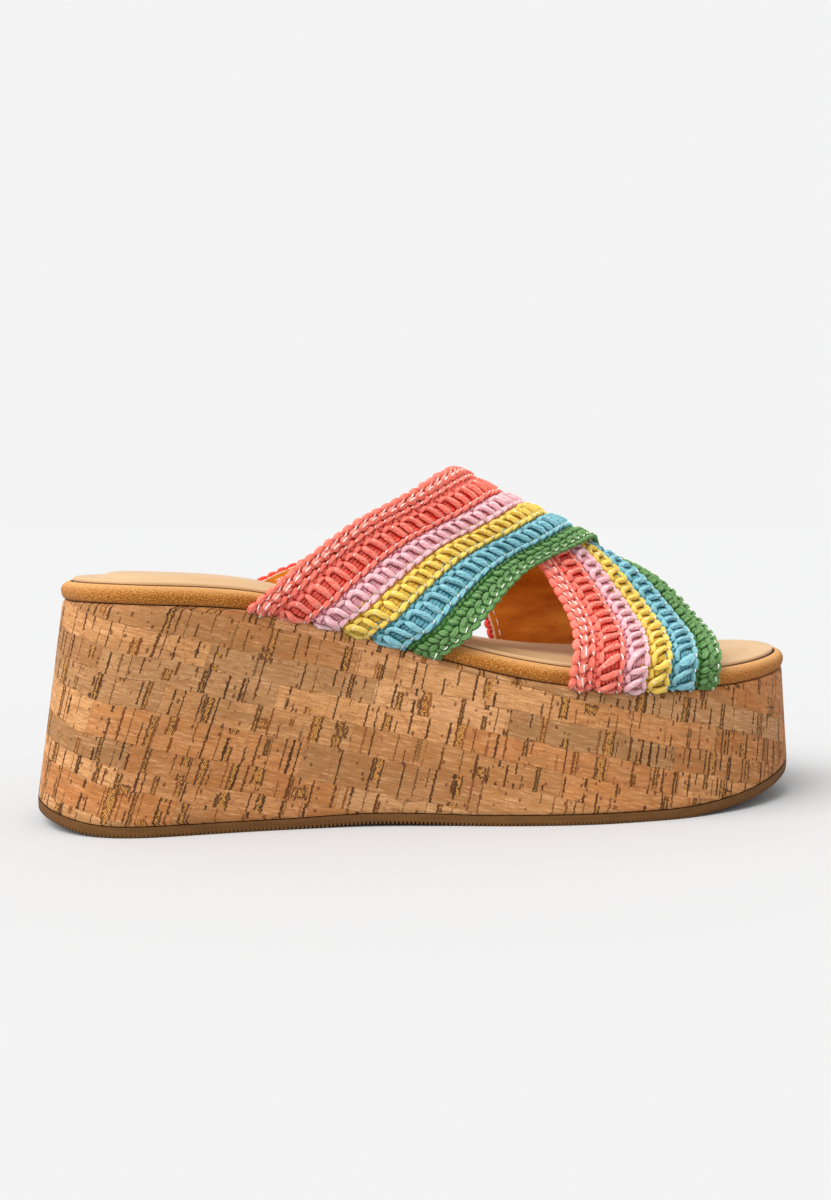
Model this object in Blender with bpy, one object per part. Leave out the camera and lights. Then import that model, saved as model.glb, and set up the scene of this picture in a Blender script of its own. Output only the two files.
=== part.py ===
"""A cross-band flatform mule, the right shoe of a pair, as five solids.

Metres, +Z up. +X runs to the toe, +Y to the inner side of the foot, and the
sole stands on z = 0. "along" is counted from the back of the heel and
"across" from the heel's own middle line; CENTRE_X and CENTRE_Y then move
every point, so that the shoe's box is centred on the origin.
"""

import math

import bmesh
import bpy
from mathutils import Vector

# Whole shoe
LENGTH = 0.262
CENTRE_X = LENGTH / 2
CENTRE_Y = 0.0011
GAP = 0.0003                # left between pieces that touch
OUTER, INNER = -1, 1        # sides of the foot: the outer side is -Y

# Outline of the sole: along, half width to the outer side, to the inner side
OUTLINE = (
    (0.000, 0.0360, 0.0360),
    (0.037, 0.0360, 0.0360),
    (0.070, 0.0342, 0.0335),
    (0.100, 0.0350, 0.0308),
    (0.125, 0.0395, 0.0328),
    (0.150, 0.0452, 0.0385),
    (0.172, 0.0484, 0.0438),
    (0.195, 0.0482, 0.0462),
    (0.220, 0.0458, 0.0458),
    (0.262, 0.0430, 0.0440),
)
HEEL_ROUND = 0.037          # length of the rounded heel
HEEL_POWER = 2.15           # 2 is an ellipse, more is squarer
TOE_ROUND = 0.064           # length of the rounded toe
TOE_POWER = 2.15
TOE_SHIFT = 0.007           # how far the toe's tip lies to the inner side
TOE_SHIFT_START = 0.140

# Ground line: flat under heel and ball, lifted at the back, waist and toe
HEEL_FLAT = (0.026, 0.072)
BALL_FLAT = (0.142, 0.196)
BACK_LIFT = 0.0045
WAIST_LIFT = 0.0008
TOE_SPRING = 0.0105

# Top edge of the cork: along, height
CORK_LINE = (
    (0.000, 0.0712),
    (0.030, 0.0706),
    (0.065, 0.0684),
    (0.094, 0.0619),
    (0.124, 0.0528),
    (0.150, 0.0463),
    (0.175, 0.0427),
    (0.200, 0.0415),
    (0.230, 0.0424),
    (0.262, 0.0455),
)
BACK_LEAN = 0.128           # inward lean of the cork wall for each metre of height
SIDE_LEAN = 0.045
FRONT_LEAN = 0.070
CORK_ROUND = 0.0010         # the cork's lower edge turns in by this much

# Sole sheet and footbed, all heights counted from the piece's own underside
OUTSOLE = 0.0033
OUTSOLE_TOOTH = 0.0015      # height of the set-back lower edge
OUTSOLE_STEP = 0.0006
RIM = 0.0060                # height of the suede rim above the cork
RIM_OVERHANG = 0.0004
RIM_SEAM = 0.0028           # the seam with the insole lies this far inside
BOARD = 0.0050              # top of the board under the insole
INSOLE_INSET = 0.0033
INSOLE_EDGE = 0.0066        # top of the insole's flat edge above the cork
INSOLE_FLANGE = 0.0105      # the flat edge reaches this far in
INSOLE_CUSHION = 0.0083     # top of the cushion above the cork

# Bands. "turn" goes round the foot: -90 is the outer side where the arch springs,
# 0 the top, 90 the inner side; from 90 to 100 the band drops straight to the cork
FLANGE = 0.0012             # thickness of the ends lasted under the footbed
FLANGE_DEPTH = 0.0090
SPRING = 0.0090             # the arch springs this far above the cork
DROP = 10.0                 # turn used up by the straight drop
TUCK_IN = 0.0013            # the drop leans in by this much at its foot
ARCH_POWER = 2.1            # 2 is an ellipse, more is squarer
OUTER_FALL, FALL_POWER = 1.80, 1.5      # the outer flank slopes in, flatter than the inner one
RIDGE_SHIFT = 0.010         # the top of the arch lies to the inner side
RIDGE = (                   # along, height of the foot's top line
    (0.050, 0.1290),
    (0.080, 0.1240),
    (0.100, 0.1190),
    (0.120, 0.1120),
    (0.140, 0.1040),
    (0.160, 0.0965),
    (0.180, 0.0890),
    (0.200, 0.0805),
    (0.220, 0.0730),
    (0.240, 0.0690),
)
BAND_EDGES = (              # turn, along at the rear edge, along at the front edge
    (-100, 0.0650, 0.1255),
    (-90, 0.0730, 0.1335),
    (-60, 0.1037, 0.1565),
    (-30, 0.1250, 0.1785),
    (0, 0.1392, 0.1920),
    (30, 0.1480, 0.2040),
    (60, 0.1580, 0.2110),
    (90, 0.1630, 0.2150),
    (100, 0.1645, 0.2165),
)
LOWER_BAND_SHIFT = 0.006
TURN_STEPS = 20
ROWS = (0.0045, 0.0060, 0.0070, 0.0078, 0.0080, 0.0098, 0.0092)   # crochet rows, from the rear edge
ROW_SHOULDER = 0.28         # share of a row's width taken by each sloping side
WALL = 0.0024               # lining and crochet between the rows
ROW_RELIEF = 0.0006
BAND_LIFT = 0.0036          # the top band passes over the lower one
REAR_LIFT = 0.0040          # and stands further off it at its rear edge
LIFT_SHOULDER = 26.0        # turn over which the lift dies out towards the rim
TACK_ALONG = (0.166, 0.184) # stitched joint between the bands
TACK_TURN = (-14.0, 14.0)
TACK_BITE = 0.0012          # it reaches this far into each band

SMOOTH_ANGLE = math.radians(40)


def spline(table, column, at):
    """Smooth curve through one column of a table, over its first column."""
    last = len(table) - 1
    at = min(max(at, table[0][0]), table[last][0])
    i = next(k for k in range(last) if at <= table[k + 1][0])

    def slope(k):
        a, b = table[max(k - 1, 0)], table[min(k + 1, last)]
        return (b[column] - a[column]) / (b[0] - a[0])

    width = table[i + 1][0] - table[i][0]
    t = (at - table[i][0]) / width
    rise = table[i + 1][column] - table[i][column]
    bend = t * (1 - t) * ((1 - t) * (slope(i) * width - rise) - t * (slope(i + 1) * width - rise))
    return table[i][column] + rise * t + bend


def smooth(t):
    t = min(max(t, 0.0), 1.0)
    return t * t * (3 - 2 * t)


def mix(a, b, t):
    return a + (b - a) * t


def sole_line(along):
    """Height of the outsole's underside."""
    if along < HEEL_FLAT[0]:
        return BACK_LIFT * (1 - along / HEEL_FLAT[0]) ** 2
    if HEEL_FLAT[1] < along < BALL_FLAT[0]:
        t = (along - HEEL_FLAT[1]) / (BALL_FLAT[0] - HEEL_FLAT[1])
        return WAIST_LIFT * math.sin(math.pi * t) ** 2
    if along > BALL_FLAT[1]:
        return TOE_SPRING * ((along - BALL_FLAT[1]) / (LENGTH - BALL_FLAT[1])) ** 2
    return 0.0


def cork_line(along):
    return spline(CORK_LINE, 1, along)


def wall(along):
    return cork_line(along) - sole_line(along)


def rounded(t, power):
    """Half width of a rounded end, from 0 at its tip to 1."""
    t = min(max(t, 0.0), 1.0)
    return (1 - (1 - t) ** power) ** (1 / power)


def tips(rise, grow):
    """The outline's two ends, at a share of the cork's height and grown outwards."""
    return (BACK_LEAN * rise * wall(0) - grow, LENGTH - FRONT_LEAN * rise * wall(LENGTH) + grow)


def middle(along):
    t = max(along - TOE_SHIFT_START, 0) / (LENGTH - TOE_SHIFT_START)
    return TOE_SHIFT * t * t


def half_width(along, side, rise, grow):
    back, front = tips(rise, grow)
    body = spline(OUTLINE, 1 if side == OUTER else 2, along) - SIDE_LEAN * rise * wall(along) + grow
    heel = rounded((along - back) / (HEEL_ROUND - back), HEEL_POWER)
    toe = rounded((front - along) / (front - LENGTH + TOE_ROUND), TOE_POWER)
    return body * heel * toe


def stations(rise, grow, extra=()):
    """Distances along the shoe for one ring: close together at both rounded ends."""
    back, front = tips(rise, grow)
    heel_steps, body_steps, toe_steps = 8, 15, 9
    toe_start = LENGTH - TOE_ROUND
    heel = [mix(back, HEEL_ROUND, 1 - math.cos(math.pi / 2 * i / heel_steps)) for i in range(heel_steps)]
    body = [mix(HEEL_ROUND, toe_start, i / body_steps) for i in range(body_steps + 1)]
    toe = [mix(front, toe_start, 1 - math.cos(math.pi / 2 * i / toe_steps)) for i in range(toe_steps)]
    return sorted(heel + body + list(extra) + toe)


def placed(along, across, height):
    return Vector((along - CENTRE_X, across - CENTRE_Y, height))


def ring(rise, grow, level, extra=()):
    """A closed ring: heel tip, outer side, toe tip, inner side. level(along, side) is its height."""
    places = stations(rise, grow, extra)
    outer = [placed(a, middle(a) - half_width(a, OUTER, rise, grow), level(a, OUTER)) for a in places]
    inner = [placed(a, middle(a) + half_width(a, INNER, rise, grow), level(a, INNER)) for a in places]
    return outer + inner[-2:0:-1]


def make_solid(name, points, faces, paint):
    """One closed mesh object with its faces pointing out."""
    bm = bmesh.new()
    verts = [bm.verts.new(p) for p in points]
    for face in faces:
        bm.faces.new([verts[i] for i in face])
    bmesh.ops.recalc_face_normals(bm, faces=bm.faces)
    mesh = bpy.data.meshes.new(name)
    bm.to_mesh(mesh)
    bm.free()
    mesh.shade_smooth()
    mesh.set_sharp_from_angle(angle=SMOOTH_ANGLE)
    mesh.materials.append(paint)
    piece = bpy.data.objects.new(name, mesh)
    bpy.context.scene.collection.objects.link(piece)
    return piece


def make_stack(name, rings, paint):
    """Rings joined wall by wall, closed underneath and on top by strips across the shoe."""
    size = len(rings[0])
    faces = []
    for k in range(len(rings) - 1):
        for i in range(size):
            j = (i + 1) % size
            faces.append((k * size + i, k * size + j, (k + 1) * size + j, (k + 1) * size + i))
    for start in (0, (len(rings) - 1) * size):
        for i in range(size // 2):
            left, right = (start + i, start + i + 1), (start + size - i - 1, start + (size - i) % size)
            faces.append(tuple(dict.fromkeys(left + right)))
    return make_solid(name, [p for r in rings for p in r], faces, paint)


def make_paint(name, colour, roughness):
    paint = bpy.data.materials.new(name)
    paint.use_nodes = True
    shader = paint.node_tree.nodes["Principled BSDF"]
    shader.inputs["Base Color"].default_value = (*colour, 1.0)
    shader.inputs["Roughness"].default_value = roughness
    shader.inputs["Metallic"].default_value = 0.0
    return paint


# Sole

def make_outsole(paint):
    def at(height):
        return lambda along, side: sole_line(along) + height

    step_top = OUTSOLE_TOOTH + OUTSOLE_STEP / 2
    return make_stack("outsole", [
        ring(0, -OUTSOLE_STEP, at(0)),
        ring(0, -OUTSOLE_STEP, at(OUTSOLE_TOOTH)),
        ring(0, 0, at(step_top)),
        ring(0, 0, at(OUTSOLE)),
    ], paint)


def make_wedge(paint):
    foot = OUTSOLE + GAP

    def at(share):
        return lambda along, side: mix(sole_line(along) + foot, cork_line(along), share)

    shares = (0.06, 0.35, 0.68, 0.97)
    rings = [ring(0, -CORK_ROUND, at(0))]
    rings += [ring(share, 0, at(share)) for share in shares]
    rings.append(ring(1, -CORK_ROUND / 2, at(1)))
    return make_stack("wedge", rings, paint)


# Footbed

def tuck(height):
    """How far the rim and the bands' drop lean in at a height above the cork."""
    t = (SPRING - height) / (SPRING - GAP - FLANGE)
    return TUCK_IN * max(t, 0.0) ** 2


def band_feet():
    """Where band ends pass under the footbed: side, rear end, front end."""
    start, end = BAND_EDGES[0], BAND_EDGES[-1]
    return [(side, edge[1], edge[2]) for side in (OUTER, INNER) for edge in (start, end)]


def make_footbed(paint):
    margin, ramp = 0.0010, 0.0010
    notch = FLANGE + GAP
    extra = []
    for _, rear, front in band_feet():
        extra += [rear - margin - ramp, rear - margin, front + margin, front + margin + ramp]

    def under(along, side):
        for foot_side, rear, front in band_feet():
            if side == foot_side and rear - margin * 1.01 < along < front + margin * 1.01:
                return cork_line(along) + GAP + notch
        return cork_line(along) + GAP

    def at(height):
        return lambda along, side: cork_line(along) + height

    flat, bulge, shoulder = 0.0033, 0.0046, 0.0056
    return make_stack("footbed", [
        ring(1, -FLANGE_DEPTH - TUCK_IN - 2 * margin, at(GAP), extra),
        ring(1, -FLANGE_DEPTH - TUCK_IN - margin, under, extra),
        ring(1, RIM_OVERHANG - tuck(notch), under, extra),
        ring(1, RIM_OVERHANG - tuck(flat), at(flat), extra),
        ring(1, RIM_OVERHANG - tuck(bulge), at(bulge), extra),
        ring(1, -RIM_SEAM / 4, at(shoulder), extra),
        ring(1, -RIM_SEAM, at(RIM), extra),
        ring(1, -RIM_SEAM - GAP, at(BOARD), extra),
    ], paint)


def make_insole(paint):
    def at(height):
        return lambda along, side: cork_line(along) + height

    slope = 0.0022
    return make_stack("insole", [
        ring(1, -INSOLE_INSET - GAP, at(BOARD + GAP)),
        ring(1, -INSOLE_INSET, at(mix(BOARD + GAP, INSOLE_EDGE, 0.5))),
        ring(1, -INSOLE_INSET - slope / 4, at(INSOLE_EDGE)),
        ring(1, -INSOLE_FLANGE, at(INSOLE_EDGE)),
        ring(1, -INSOLE_FLANGE - slope, at(mix(INSOLE_EDGE, INSOLE_CUSHION, 0.65))),
        ring(1, -INSOLE_FLANGE - 2.5 * slope, at(INSOLE_CUSHION)),
    ], paint)


# Bands

def foot_point(along, turn):
    """Inner face of a band on the foot: a narrowing arch on top of a straight drop."""
    side = OUTER if turn < 0 else INNER
    width = half_width(along, side, 1, RIM_OVERHANG + GAP)
    spring = cork_line(along) + SPRING
    if abs(turn) > 90:
        height = mix(SPRING, GAP + FLANGE, (abs(turn) - 90) / DROP)
        return Vector((along, middle(along) + side * (width - tuck(height)), cork_line(along) + height))
    angle = math.radians(turn)
    across = abs(math.sin(angle)) ** (2 / ARCH_POWER)
    up = max(math.cos(angle), 0.0) ** (2 / ARCH_POWER)
    if side == OUTER:
        across *= 1 - OUTER_FALL * up ** FALL_POWER * (1 - up)
    shift = middle(along) + RIDGE_SHIFT * up * up
    return Vector((along, shift + side * width * across, mix(spring, spline(RIDGE, 1, along), up)))


def outward(along, turn):
    """Unit normal of the foot's surface."""
    step, reach = 0.5, 0.001
    turn = min(max(turn, -89.0), 89.0)
    around = foot_point(along, turn + step) - foot_point(along, turn - step)
    forward = foot_point(along + reach, turn) - foot_point(along - reach, turn)
    return forward.cross(around).normalized()


def across_rows():
    """Share of the band's width and relief at each line across it: seams low, rows raised."""
    total = sum(ROWS)
    lines = [(0.0, 0.0)]
    edge = 0.0
    for width in ROWS:
        lines.append(((edge + width * ROW_SHOULDER) / total, ROW_RELIEF))
        lines.append(((edge + width * (1 - ROW_SHOULDER)) / total, ROW_RELIEF))
        edge += width
        lines.append((edge / total, 0.0))
    return lines


def lift(turn, share, is_top):
    if not is_top:
        return 0.0
    shoulder = smooth((90 - abs(turn)) / LIFT_SHOULDER)
    return shoulder * (BAND_LIFT + REAR_LIFT * (1 - share) ** 2)


def band_place(turn, share, hand, shift):
    """Distance along the shoe at a turn and a share of the band's width."""
    rear, front = spline(BAND_EDGES, 1, turn * hand), spline(BAND_EDGES, 2, turn * hand)
    return mix(rear, front, share) + shift * smooth((90 + DROP - abs(turn)) / LIFT_SHOULDER)


def band_line(turn, hand, shift, is_top):
    """Points across the band at one turn: outer face, then inner face."""
    outer, inner = [], []
    for share, relief in across_rows():
        along = band_place(turn, share, hand, shift)
        base, normal = foot_point(along, turn), outward(along, turn)
        off = lift(turn, share, is_top)
        inner.append(base + normal * off)
        outer.append(base + normal * (off + WALL + relief))
    return outer, inner


def end_lines(turn, hand, shift):
    """The band's foot: its corner at the cork, and the tip of the part lasted under the footbed."""
    side = OUTER if turn < 0 else INNER
    outer, inner = band_line(turn, hand, shift, False)
    for p in outer:
        p.z = cork_line(p.x) + GAP
    tip_outer, tip_inner = [], []
    for p in inner:
        reach = Vector((p.x, p.y - side * FLANGE_DEPTH, 0))
        tip_outer.append(Vector((reach.x, reach.y, cork_line(p.x) + GAP)))
        tip_inner.append(Vector((reach.x, reach.y, cork_line(p.x) + GAP + FLANGE)))
    return (outer, inner), (tip_outer, tip_inner)


def make_band(name, hand, shift, is_top, paint):
    """A curved wall: outer and inner faces over the same lines, closed along its four edges."""
    foot_turn = 90 + DROP
    first, last = end_lines(-foot_turn, hand, shift), end_lines(foot_turn, hand, shift)
    turns = [-90 - DROP / 2] + [mix(-90, 90, i / TURN_STEPS) for i in range(TURN_STEPS + 1)] + [90 + DROP / 2]
    lines = [first[1], first[0]] + [band_line(t, hand, shift, is_top) for t in turns] + [last[0], last[1]]
    count, width = len(lines), len(lines[0][0])
    points = [p for outer, inner in lines for p in outer + inner]

    def corner(line, face, place):
        return line * 2 * width + face * width + place

    faces = []
    for i in range(count - 1):
        for face in (0, 1):
            for j in range(width - 1):
                faces.append((corner(i, face, j), corner(i + 1, face, j),
                              corner(i + 1, face, j + 1), corner(i, face, j + 1)))
        for j in (0, width - 1):
            faces.append((corner(i, 0, j), corner(i + 1, 0, j), corner(i + 1, 1, j), corner(i, 1, j)))
    for i in (0, count - 1):
        for j in range(width - 1):
            faces.append((corner(i, 0, j), corner(i, 0, j + 1), corner(i, 1, j + 1), corner(i, 1, j)))
    return make_solid(name, [placed(*p) for p in points], faces, paint)


def make_tack(paint):
    """The stitched joint: a low block that fills the space between the bands at their crossing."""
    steps = 4
    points, faces = [], []
    for i in range(steps + 1):
        for j in range(steps + 1):
            along, turn = mix(*TACK_ALONG, i / steps), mix(*TACK_TURN, j / steps)
            rear, front = band_place(turn, 0, 1, 0), band_place(turn, 1, 1, 0)
            top = lift(turn, (along - rear) / (front - rear), True) + TACK_BITE
            base, normal = foot_point(along, turn), outward(along, turn)
            points += [placed(*(base + normal * TACK_BITE)), placed(*(base + normal * top))]

    def corner(i, j, face):
        return (i * (steps + 1) + j) * 2 + face

    for i in range(steps):
        for j in range(steps):
            for face in (0, 1):
                faces.append((corner(i, j, face), corner(i + 1, j, face),
                              corner(i + 1, j + 1, face), corner(i, j + 1, face)))
        for j in (0, steps):
            faces.append((corner(i, j, 0), corner(i + 1, j, 0), corner(i + 1, j, 1), corner(i, j, 1)))
            faces.append((corner(j, i, 0), corner(j, i + 1, 0), corner(j, i + 1, 1), corner(j, i, 1)))
    return make_solid("tack", points, faces, paint)


def make_upper(paint):
    """Both bands as one solid, joined where they cross."""
    upper = make_band("upper", -1, LOWER_BAND_SHIFT, False, paint)
    for piece in (make_tack(paint), make_band("top_band", 1, 0.0, True, paint)):
        piece.hide_render = True
        piece.display_type = "WIRE"
        joint = upper.modifiers.new(piece.name, "BOOLEAN")
        joint.operation = "UNION"
        joint.solver = "EXACT"
        joint.object = piece
    return upper


for old in list(bpy.data.objects):
    bpy.data.objects.remove(old, do_unlink=True)

make_outsole(make_paint("brown_rubber", (0.17, 0.09, 0.05), 0.75))
make_wedge(make_paint("cork_veneer", (0.56, 0.31, 0.14), 0.70))
make_footbed(make_paint("tan_suede", (0.58, 0.28, 0.09), 0.90))
make_insole(make_paint("pale_lining", (0.91, 0.63, 0.39), 0.55))
make_upper(make_paint("coral_crochet", (0.84, 0.12, 0.10), 0.85))
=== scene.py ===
import math

import bmesh
import bpy
import numpy as np
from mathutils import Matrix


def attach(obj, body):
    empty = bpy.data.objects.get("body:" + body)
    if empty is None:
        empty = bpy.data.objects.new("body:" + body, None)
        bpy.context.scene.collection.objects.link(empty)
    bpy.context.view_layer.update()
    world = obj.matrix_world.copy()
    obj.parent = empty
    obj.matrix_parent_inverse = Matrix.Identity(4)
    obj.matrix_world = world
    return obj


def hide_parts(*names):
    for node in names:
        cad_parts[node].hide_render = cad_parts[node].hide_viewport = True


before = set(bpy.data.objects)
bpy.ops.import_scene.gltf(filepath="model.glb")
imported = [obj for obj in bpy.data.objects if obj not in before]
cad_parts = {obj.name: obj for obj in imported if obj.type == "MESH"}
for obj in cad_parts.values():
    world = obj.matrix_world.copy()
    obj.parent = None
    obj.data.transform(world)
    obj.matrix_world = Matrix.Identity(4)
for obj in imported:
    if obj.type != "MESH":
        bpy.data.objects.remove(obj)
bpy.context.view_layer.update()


# Stage: a wide pale floor that runs out into a sky of the same brightness, one soft sun high
# on the heel side, and the camera low on the outer side, just behind the heel.

FLOOR_RADIUS, FLOOR_SIDES = 30.0, 96
FLOOR_COLOUR = (0.496, 0.496, 0.498)
FLOOR_LIGHTEST = 1.008      # brightness of its palest parts against its colour
SKY_COLOUR, SKY_STRENGTH = (1.0, 1.0, 1.0), 0.905
SUN_HEIGHT, SUN_TURN = 50, 60       # degrees up, and from -Y towards the heel
SUN_STRENGTH, SUN_SPREAD = 3.8, 50
CAMERA_PLACE = (-0.105, -0.4505, 0.095)
CAMERA_TURN, CAMERA_DIP = 12.4, 3.2     # degrees to the right of +Y, and down
CAMERA_LENS = 40.6


def link(name, data):
    piece = bpy.data.objects.new(name, data)
    bpy.context.scene.collection.objects.link(piece)
    return piece


def add_node(tree, kind, *inputs, **settings):
    """A node with its settings made, and its inputs linked to sockets or set to values."""
    made = tree.nodes.new(kind)
    for key, value in settings.items():
        setattr(made, key, value)
    for place, value in inputs:
        if isinstance(value, bpy.types.NodeSocket):
            tree.links.new(value, made.inputs[place])
        else:
            made.inputs[place].default_value = value
    return made


floor_paint = bpy.data.materials.new("pale_floor")
floor_paint.use_nodes = True
floor_tree = floor_paint.node_tree
patches = add_node(floor_tree, "ShaderNodeTexNoise", ("Scale", 0.8))
lightest = tuple(c * FLOOR_LIGHTEST for c in FLOOR_COLOUR)
tone = add_node(floor_tree, "ShaderNodeMix", (0, patches.outputs["Fac"]), (6, (*FLOOR_COLOUR, 1)),
                (7, (*lightest, 1)), data_type="RGBA")
shader = floor_tree.nodes["Principled BSDF"]
shader.inputs["Roughness"].default_value = 0.9
shader.inputs["Specular IOR Level"].default_value = 0.0
floor_tree.links.new(tone.outputs[2], shader.inputs["Base Color"])
turns = [2 * math.pi * k / FLOOR_SIDES for k in range(FLOOR_SIDES)]
floor_mesh = bpy.data.meshes.new("floor")
floor_mesh.from_pydata([(FLOOR_RADIUS * math.cos(t), FLOOR_RADIUS * math.sin(t), 0.0) for t in turns], [],
                       [tuple(range(FLOOR_SIDES))])
floor_mesh.materials.append(floor_paint)
link("floor", floor_mesh)

world = bpy.data.worlds.new("studio")
world.use_nodes = True
sky = world.node_tree.nodes["Background"]
sky.inputs["Color"].default_value = (*SKY_COLOUR, 1)
sky.inputs["Strength"].default_value = SKY_STRENGTH
bpy.context.scene.world = world
bpy.context.scene.view_settings.view_transform = "Standard"
sun_data = bpy.data.lights.new("sun", "SUN")
sun_data.energy = SUN_STRENGTH
sun_data.angle = math.radians(SUN_SPREAD)
sun = link("sun", sun_data)
sun.rotation_euler = (math.radians(90 - SUN_HEIGHT), 0, math.radians(-SUN_TURN))

camera_data = bpy.data.cameras.new("camera")
camera_data.lens = CAMERA_LENS
camera_data.clip_start, camera_data.clip_end = 0.02, 30.0
camera = link("camera", camera_data)
camera.location = CAMERA_PLACE
camera.rotation_euler = (math.radians(90 - CAMERA_DIP), 0, math.radians(-CAMERA_TURN))
bpy.context.scene.camera = camera


# Outsole: one thin sheet of brown rubber cemented under the wedge. Its edge is milled with
# fine upright teeth below a plain band, and a wavy tread is moulded into the underside.

LENGTH = 0.262
CENTRE_X, CENTRE_Y = LENGTH / 2, 0.0011
GAP = 0.0003                # left between pieces that touch
OUTER, INNER = -1, 1        # sides of the foot: the outer side is -Y
OUTLINE = (                 # along, half width to the outer side, to the inner side
    (0.000, 0.0360, 0.0360), (0.037, 0.0360, 0.0360), (0.070, 0.0342, 0.0335), (0.100, 0.0350, 0.0308),
    (0.125, 0.0395, 0.0328), (0.150, 0.0452, 0.0385), (0.172, 0.0484, 0.0438), (0.195, 0.0482, 0.0462),
    (0.220, 0.0458, 0.0458), (0.262, 0.0430, 0.0440),
)
HEEL_ROUND, HEEL_POWER = 0.037, 2.15        # length of the rounded end, and how full it is
TOE_ROUND, TOE_POWER = 0.064, 2.15
TOE_SHIFT, TOE_SHIFT_START = 0.007, 0.140   # the middle line turns to the inner side from here
HEEL_FLAT, BALL_FLAT = (0.026, 0.072), (0.142, 0.196)       # where the sole stands on the floor
BACK_LIFT, WAIST_LIFT, TOE_SPRING = 0.0045, 0.0008, 0.0105
CORK_LINE = (               # along, height of the cork's top edge
    (0.000, 0.0712), (0.030, 0.0706), (0.065, 0.0684), (0.094, 0.0619), (0.124, 0.0528),
    (0.150, 0.0463), (0.175, 0.0427), (0.200, 0.0415), (0.230, 0.0424), (0.262, 0.0455),
)
BACK_LEAN, SIDE_LEAN, FRONT_LEAN = 0.128, 0.045, 0.070      # the walls lean in, against their height
OUTSOLE = 0.0033
TOOTH_HEIGHT, TOOTH_DEPTH, TOOTH_PITCH = 0.0009, 0.0005, 0.0013
TOOTH_CUTS = (0.0, 0.15, 1.0, 0.15)     # depth at the four points of a tooth
TREAD_INSET, CHAMFER_INSET = 0.0030, 0.0018
RUBBER_COLOURS = ((0.098, 0.040, 0.009), (0.148, 0.064, 0.017))
TREAD_GROOVE_DARK = (0.040, 0.017, 0.005)


def spline(table, column, at):
    """Smooth curve through one column of a table, over its first column."""
    knots, values = (np.array([row[k] for row in table]) for k in (0, column))
    last = len(table) - 1
    after, before = np.minimum(np.arange(last + 1) + 1, last), np.maximum(np.arange(last + 1) - 1, 0)
    slopes = (values[after] - values[before]) / (knots[after] - knots[before])
    at = np.clip(at, knots[0], knots[-1])
    i = np.clip(np.searchsorted(knots, at) - 1, 0, last - 1)
    width = knots[i + 1] - knots[i]
    rise = values[i + 1] - values[i]
    t = (at - knots[i]) / width
    bend = t * (1 - t) * ((1 - t) * (slopes[i] * width - rise) - t * (slopes[i + 1] * width - rise))
    return values[i] + rise * t + bend


def smooth(t):
    t = np.clip(t, 0.0, 1.0)
    return t * t * (3 - 2 * t)


def mix(a, b, t):
    return a + (b - a) * t


def sole_line(along):
    """Height of the outsole's underside."""
    back = BACK_LIFT * np.maximum(1 - along / HEEL_FLAT[0], 0) ** 2
    t = np.clip((along - HEEL_FLAT[1]) / (BALL_FLAT[0] - HEEL_FLAT[1]), 0, 1)
    front = TOE_SPRING * (np.maximum(along - BALL_FLAT[1], 0) / (LENGTH - BALL_FLAT[1])) ** 2
    return back + WAIST_LIFT * np.sin(math.pi * t) ** 2 + front


def cork_line(along):
    return spline(CORK_LINE, 1, along)


def wall(along):
    return cork_line(along) - sole_line(along)


def rounded(t, power):
    """Half width of a rounded end, from 0 at its tip to 1."""
    t = np.clip(t, 0.0, 1.0)
    return (1 - (1 - t) ** power) ** (1 / power)


def middle(along):
    """The sole's middle line, which turns to the inner side at the toe."""
    t = np.maximum(along - TOE_SHIFT_START, 0) / (LENGTH - TOE_SHIFT_START)
    return TOE_SHIFT * t * t


def tips(rise, grow):
    """Where the outline ends at heel and toe, at a share of the cork's height and grown outwards."""
    return BACK_LEAN * rise * wall(0.0) - grow, LENGTH - FRONT_LEAN * rise * wall(LENGTH) + grow


def half_width(along, side, rise, grow):
    """From the sole's middle line to the edge of that outline."""
    back, front = tips(rise, grow)
    body = np.where(np.asarray(side) < 0, spline(OUTLINE, 1, along), spline(OUTLINE, 2, along))
    heel = rounded((along - back) / (HEEL_ROUND - back), HEEL_POWER)
    toe = rounded((front - along) / (front - LENGTH + TOE_ROUND), TOE_POWER)
    return (body - SIDE_LEAN * rise * wall(along) + grow) * heel * toe


def arc_lengths(points):
    """How far along a line of points each of them is."""
    return np.concatenate([[0], np.cumsum(np.linalg.norm(np.diff(points, axis=0), axis=1))])


def outline(rise, grow, steps):
    """Evenly spaced (along, across) places: heel tip, outer side, toe tip, inner side."""
    back, front = tips(rise, grow)
    along = mix(back, front, (1 - np.cos(np.linspace(0, math.pi, 600))) / 2)
    sides = []
    for side in (OUTER, INNER):
        across = middle(along) + side * half_width(along, side, rise, grow)
        run = arc_lengths(np.stack([along, across], 1))
        even = np.linspace(0, run[-1], steps + 1)
        sides.append(np.stack([np.interp(even, run, along), np.interp(even, run, across)], 1))
    return np.concatenate([sides[0], sides[1][-2:0:-1]])


def ring(rise, grow, level, steps):
    """The outline lifted to level(along), in the shoe's own frame."""
    flat = outline(rise, grow, steps)
    return np.stack([flat[:, 0] - CENTRE_X, flat[:, 1] - CENTRE_Y, level(flat[:, 0])], 1)


def walls(count, size, place, closed=True):
    """Faces between rows of points that follow one another, and their UVs, by place(row, step)."""
    corners = ((0, 0), (0, 1), (1, 1), (1, 0))
    faces, uvs = [], []
    for k in range(count - 1):
        for i in range(size if closed else size - 1):
            faces.append(tuple((k + a) * size + (i + b) % size for a, b in corners))
            uvs += [place(k + a, i + b) for a, b in corners]
    return faces, uvs


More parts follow.
